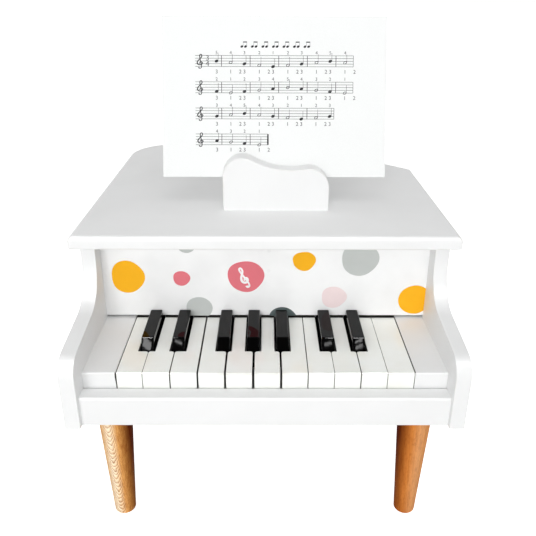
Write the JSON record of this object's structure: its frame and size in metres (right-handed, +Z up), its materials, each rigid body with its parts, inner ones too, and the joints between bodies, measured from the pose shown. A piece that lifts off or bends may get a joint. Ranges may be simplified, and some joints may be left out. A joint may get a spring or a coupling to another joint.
{
  "type": "toy piano",
  "caption": "Small white toy grand piano on turned oak legs, with playable keys, hammers, tone bars and a wave-topped music rest that holds a card.",
  "frame": {"origin": "floor under the middle of the piano's width and depth", "axes": "+X to the treble side, +Y to the tail, +Z up"},
  "size_m": [0.339, 0.4314, 0.424],
  "materials": {
    "white_paint": "satin white paint",
    "oak": "oiled oak",
    "key_white": "lacquered",
    "key_black": "gloss lacquer",
    "steel": "bright steel",
    "felt": "felt",
    "bare_wood": "bare pine",
    "hammer_plastic": "moulded",
    "paper": "printed card"
  },
  "bodies": {
    "case": {"left_side_panel": "white_paint", "right_side_panel": "white_paint", "bent_back_panel": "white_paint", "lid": "white_paint", "fascia": "white_paint", "key_slip": "white_paint", "left_key_block": "white_paint", "right_key_block": "white_paint", "music_rest": "white_paint", "base_board": "white_paint", "front_left_leg": "oak", "front_right_leg": "oak", "rear_leg": "oak", "key_pivot_rod": "steel", "hammer_pivot_rod": "steel", "tone_bars": "steel", "leg_bolts": "steel", "felt_strips": "felt", "key_rest_rail": "bare_wood", "tone_bar_rails": "bare_wood", "tone_bar_clamp": "bare_wood"},
    "music_sheet": {"music_sheet": "paper"},
    "white_key_c1": {"white_key_c1": "key_white"},
    "hammer_c1": {"hammer_c1": "hammer_plastic"},
    "black_key_c1_sharp": {"black_key_c1_sharp": "key_black"},
    "hammer_c1_sharp": {"hammer_c1_sharp": "hammer_plastic"},
    "white_key_d1": {"white_key_d1": "key_white"},
    "hammer_d1": {"hammer_d1": "hammer_plastic"},
    "black_key_d1_sharp": {"black_key_d1_sharp": "key_black"},
    "hammer_d1_sharp": {"hammer_d1_sharp": "hammer_plastic"},
    "white_key_e1": {"white_key_e1": "key_white"},
    "hammer_e1": {"hammer_e1": "hammer_plastic"},
    "white_key_f1": {"white_key_f1": "key_white"},
    "hammer_f1": {"hammer_f1": "hammer_plastic"},
    "black_key_f1_sharp": {"black_key_f1_sharp": "key_black"},
    "hammer_f1_sharp": {"hammer_f1_sharp": "hammer_plastic"},
    "white_key_g1": {"white_key_g1": "key_white"},
    "hammer_g1": {"hammer_g1": "hammer_plastic"},
    "black_key_g1_sharp": {"black_key_g1_sharp": "key_black"},
    "hammer_g1_sharp": {"hammer_g1_sharp": "hammer_plastic"},
    "white_key_a1": {"white_key_a1": "key_white"},
    "hammer_a1": {"hammer_a1": "hammer_plastic"},
    "black_key_a1_sharp": {"black_key_a1_sharp": "key_black"},
    "hammer_a1_sharp": {"hammer_a1_sharp": "hammer_plastic"},
    "white_key_b1": {"white_key_b1": "key_white"},
    "hammer_b1": {"hammer_b1": "hammer_plastic"},
    "white_key_c2": {"white_key_c2": "key_white"},
    "hammer_c2": {"hammer_c2": "hammer_plastic"},
    "black_key_c2_sharp": {"black_key_c2_sharp": "key_black"},
    "hammer_c2_sharp": {"hammer_c2_sharp": "hammer_plastic"},
    "white_key_d2": {"white_key_d2": "key_white"},
    "hammer_d2": {"hammer_d2": "hammer_plastic"},
    "black_key_d2_sharp": {"black_key_d2_sharp": "key_black"},
    "hammer_d2_sharp": {"hammer_d2_sharp": "hammer_plastic"},
    "white_key_e2": {"white_key_e2": "key_white"},
    "hammer_e2": {"hammer_e2": "hammer_plastic"},
    "white_key_f2": {"white_key_f2": "key_white"},
    "hammer_f2": {"hammer_f2": "hammer_plastic"}
  },
  "joints": [
    {"name": "white_key_c1_press", "type": "hinge", "parent": "case", "child": "white_key_c1", "pos_m": [-0.11516, -0.08125, 0.1539], "axis": [1, 0, 0], "range_deg": [0, 4], "stiffness_Nm_per_rad": 0.3, "springref_deg": -5.73},
    {"name": "hammer_c1_swing", "type": "hinge", "parent": "case", "child": "hammer_c1", "pos_m": [-0.11516, -0.02625, 0.176], "axis": [1, 0, 0], "range_deg": [0, 15]},
    {"name": "black_key_c1_sharp_press", "type": "hinge", "parent": "case", "child": "black_key_c1_sharp", "pos_m": [-0.10178, -0.08125, 0.1539], "axis": [1, 0, 0], "range_deg": [0, 4], "stiffness_Nm_per_rad": 0.3, "springref_deg": -5.73},
    {"name": "hammer_c1_sharp_swing", "type": "hinge", "parent": "case", "child": "hammer_c1_sharp", "pos_m": [-0.10178, -0.02625, 0.176], "axis": [1, 0, 0], "range_deg": [0, 15]},
    {"name": "white_key_d1_press", "type": "hinge", "parent": "case", "child": "white_key_d1", "pos_m": [-0.0884, -0.08125, 0.1539], "axis": [1, 0, 0], "range_deg": [0, 4], "stiffness_Nm_per_rad": 0.3, "springref_deg": -5.73},
    {"name": "hammer_d1_swing", "type": "hinge", "parent": "case", "child": "hammer_d1", "pos_m": [-0.0884, -0.02625, 0.176], "axis": [1, 0, 0], "range_deg": [0, 15]},
    {"name": "black_key_d1_sharp_press", "type": "hinge", "parent": "case", "child": "black_key_d1_sharp", "pos_m": [-0.07502, -0.08125, 0.1539], "axis": [1, 0, 0], "range_deg": [0, 4], "stiffness_Nm_per_rad": 0.3, "springref_deg": -5.73},
    {"name": "hammer_d1_sharp_swing", "type": "hinge", "parent": "case", "child": "hammer_d1_sharp", "pos_m": [-0.07502, -0.02625, 0.176], "axis": [1, 0, 0], "range_deg": [0, 15]},
    {"name": "white_key_e1_press", "type": "hinge", "parent": "case", "child": "white_key_e1", "pos_m": [-0.06164, -0.08125, 0.1539], "axis": [1, 0, 0], "range_deg": [0, 4], "stiffness_Nm_per_rad": 0.3, "springref_deg": -5.73},
    {"name": "hammer_e1_swing", "type": "hinge", "parent": "case", "child": "hammer_e1", "pos_m": [-0.06164, -0.02625, 0.176], "axis": [1, 0, 0], "range_deg": [0, 15]},
    {"name": "white_key_f1_press", "type": "hinge", "parent": "case", "child": "white_key_f1", "pos_m": [-0.04858, -0.08125, 0.1539], "axis": [1, 0, 0], "range_deg": [0, 4], "stiffness_Nm_per_rad": 0.3, "springref_deg": -5.73},
    {"name": "hammer_f1_swing", "type": "hinge", "parent": "case", "child": "hammer_f1", "pos_m": [-0.04858, -0.02625, 0.176], "axis": [1, 0, 0], "range_deg": [0, 15]},
    {"name": "black_key_f1_sharp_press", "type": "hinge", "parent": "case", "child": "black_key_f1_sharp", "pos_m": [-0.03584, -0.08125, 0.1539], "axis": [1, 0, 0], "range_deg": [0, 4], "stiffness_Nm_per_rad": 0.3, "springref_deg": -5.73},
    {"name": "hammer_f1_sharp_swing", "type": "hinge", "parent": "case", "child": "hammer_f1_sharp", "pos_m": [-0.03584, -0.02625, 0.176], "axis": [1, 0, 0], "range_deg": [0, 15]},
    {"name": "white_key_g1_press", "type": "hinge", "parent": "case", "child": "white_key_g1", "pos_m": [-0.02309, -0.08125, 0.1539], "axis": [1, 0, 0], "range_deg": [0, 4], "stiffness_Nm_per_rad": 0.3, "springref_deg": -5.73},
    {"name": "hammer_g1_swing", "type": "hinge", "parent": "case", "child": "hammer_g1", "pos_m": [-0.02309, -0.02625, 0.176], "axis": [1, 0, 0], "range_deg": [0, 15]},
    {"name": "black_key_g1_sharp_press", "type": "hinge", "parent": "case", "child": "black_key_g1_sharp", "pos_m": [-0.01035, -0.08125, 0.1539], "axis": [1, 0, 0], "range_deg": [0, 4], "stiffness_Nm_per_rad": 0.3, "springref_deg": -5.73},
    {"name": "hammer_g1_sharp_swing", "type": "hinge", "parent": "case", "child": "hammer_g1_sharp", "pos_m": [-0.01035, -0.02625, 0.176], "axis": [1, 0, 0], "range_deg": [0, 15]},
    {"name": "white_key_a1_press", "type": "hinge", "parent": "case", "child": "white_key_a1", "pos_m": [0.00239, -0.08125, 0.1539], "axis": [1, 0, 0], "range_deg": [0, 4], "stiffness_Nm_per_rad": 0.3, "springref_deg": -5.73},
    {"name": "hammer_a1_swing", "type": "hinge", "parent": "case", "child": "hammer_a1", "pos_m": [0.00239, -0.02625, 0.176], "axis": [1, 0, 0], "range_deg": [0, 15]},
    {"name": "black_key_a1_sharp_press", "type": "hinge", "parent": "case", "child": "black_key_a1_sharp", "pos_m": [0.01514, -0.08125, 0.1539], "axis": [1, 0, 0], "range_deg": [0, 4], "stiffness_Nm_per_rad": 0.3, "springref_deg": -5.73},
    {"name": "hammer_a1_sharp_swing", "type": "hinge", "parent": "case", "child": "hammer_a1_sharp", "pos_m": [0.01514, -0.02625, 0.176], "axis": [1, 0, 0], "range_deg": [0, 15]},
    {"name": "white_key_b1_press", "type": "hinge", "parent": "case", "child": "white_key_b1", "pos_m": [0.02788, -0.08125, 0.1539], "axis": [1, 0, 0], "range_deg": [0, 4], "stiffness_Nm_per_rad": 0.3, "springref_deg": -5.73},
    {"name": "hammer_b1_swing", "type": "hinge", "parent": "case", "child": "hammer_b1", "pos_m": [0.02788, -0.02625, 0.176], "axis": [1, 0, 0], "range_deg": [0, 15]},
    {"name": "white_key_c2_press", "type": "hinge", "parent": "case", "child": "white_key_c2", "pos_m": [0.04094, -0.08125, 0.1539], "axis": [1, 0, 0], "range_deg": [0, 4], "stiffness_Nm_per_rad": 0.3, "springref_deg": -5.73},
    {"name": "hammer_c2_swing", "type": "hinge", "parent": "case", "child": "hammer_c2", "pos_m": [0.04094, -0.02625, 0.176], "axis": [1, 0, 0], "range_deg": [0, 15]},
    {"name": "black_key_c2_sharp_press", "type": "hinge", "parent": "case", "child": "black_key_c2_sharp", "pos_m": [0.05432, -0.08125, 0.1539], "axis": [1, 0, 0], "range_deg": [0, 4], "stiffness_Nm_per_rad": 0.3, "springref_deg": -5.73},
    {"name": "hammer_c2_sharp_swing", "type": "hinge", "parent": "case", "child": "hammer_c2_sharp", "pos_m": [0.05432, -0.02625, 0.176], "axis": [1, 0, 0], "range_deg": [0, 15]},
    {"name": "white_key_d2_press", "type": "hinge", "parent": "case", "child": "white_key_d2", "pos_m": [0.0677, -0.08125, 0.1539], "axis": [1, 0, 0], "range_deg": [0, 4], "stiffness_Nm_per_rad": 0.3, "springref_deg": -5.73},
    {"name": "hammer_d2_swing", "type": "hinge", "parent": "case", "child": "hammer_d2", "pos_m": [0.0677, -0.02625, 0.176], "axis": [1, 0, 0], "range_deg": [0, 15]},
    {"name": "black_key_d2_sharp_press", "type": "hinge", "parent": "case", "child": "black_key_d2_sharp", "pos_m": [0.08108, -0.08125, 0.1539], "axis": [1, 0, 0], "range_deg": [0, 4], "stiffness_Nm_per_rad": 0.3, "springref_deg": -5.73},
    {"name": "hammer_d2_sharp_swing", "type": "hinge", "parent": "case", "child": "hammer_d2_sharp", "pos_m": [0.08108, -0.02625, 0.176], "axis": [1, 0, 0], "range_deg": [0, 15]},
    {"name": "white_key_e2_press", "type": "hinge", "parent": "case", "child": "white_key_e2", "pos_m": [0.09446, -0.08125, 0.1539], "axis": [1, 0, 0], "range_deg": [0, 4], "stiffness_Nm_per_rad": 0.3, "springref_deg": -5.73},
    {"name": "hammer_e2_swing", "type": "hinge", "parent": "case", "child": "hammer_e2", "pos_m": [0.09446, -0.02625, 0.176], "axis": [1, 0, 0], "range_deg": [0, 15]},
    {"name": "white_key_f2_press", "type": "hinge", "parent": "case", "child": "white_key_f2", "pos_m": [0.1123, -0.08125, 0.1539], "axis": [1, 0, 0], "range_deg": [0, 4], "stiffness_Nm_per_rad": 0.3, "springref_deg": -5.73},
    {"name": "hammer_f2_swing", "type": "hinge", "parent": "case", "child": "hammer_f2", "pos_m": [0.1123, -0.02625, 0.176], "axis": [1, 0, 0], "range_deg": [0, 15]},
    {"name": "music_sheet_lift", "type": "slide", "parent": "case", "child": "music_sheet", "axis": [0, 0.3173, 0.9483], "range_m": [0, 0.03]}
  ],
  "couplings": [
    {"joint": "hammer_c1_swing", "follows": "white_key_c1_press", "ratio": 3.75},
    {"joint": "hammer_c1_sharp_swing", "follows": "black_key_c1_sharp_press", "ratio": 3.75},
    {"joint": "hammer_d1_swing", "follows": "white_key_d1_press", "ratio": 3.75},
    {"joint": "hammer_d1_sharp_swing", "follows": "black_key_d1_sharp_press", "ratio": 3.75},
    {"joint": "hammer_e1_swing", "follows": "white_key_e1_press", "ratio": 3.75},
    {"joint": "hammer_f1_swing", "follows": "white_key_f1_press", "ratio": 3.75},
    {"joint": "hammer_f1_sharp_swing", "follows": "black_key_f1_sharp_press", "ratio": 3.75},
    {"joint": "hammer_g1_swing", "follows": "white_key_g1_press", "ratio": 3.75},
    {"joint": "hammer_g1_sharp_swing", "follows": "black_key_g1_sharp_press", "ratio": 3.75},
    {"joint": "hammer_a1_swing", "follows": "white_key_a1_press", "ratio": 3.75},
    {"joint": "hammer_a1_sharp_swing", "follows": "black_key_a1_sharp_press", "ratio": 3.75},
    {"joint": "hammer_b1_swing", "follows": "white_key_b1_press", "ratio": 3.75},
    {"joint": "hammer_c2_swing", "follows": "white_key_c2_press", "ratio": 3.75},
    {"joint": "hammer_c2_sharp_swing", "follows": "black_key_c2_sharp_press", "ratio": 3.75},
    {"joint": "hammer_d2_swing", "follows": "white_key_d2_press", "ratio": 3.75},
    {"joint": "hammer_d2_sharp_swing", "follows": "black_key_d2_sharp_press", "ratio": 3.75},
    {"joint": "hammer_e2_swing", "follows": "white_key_e2_press", "ratio": 3.75},
    {"joint": "hammer_f2_swing", "follows": "white_key_f2_press", "ratio": 3.75}
  ]
}
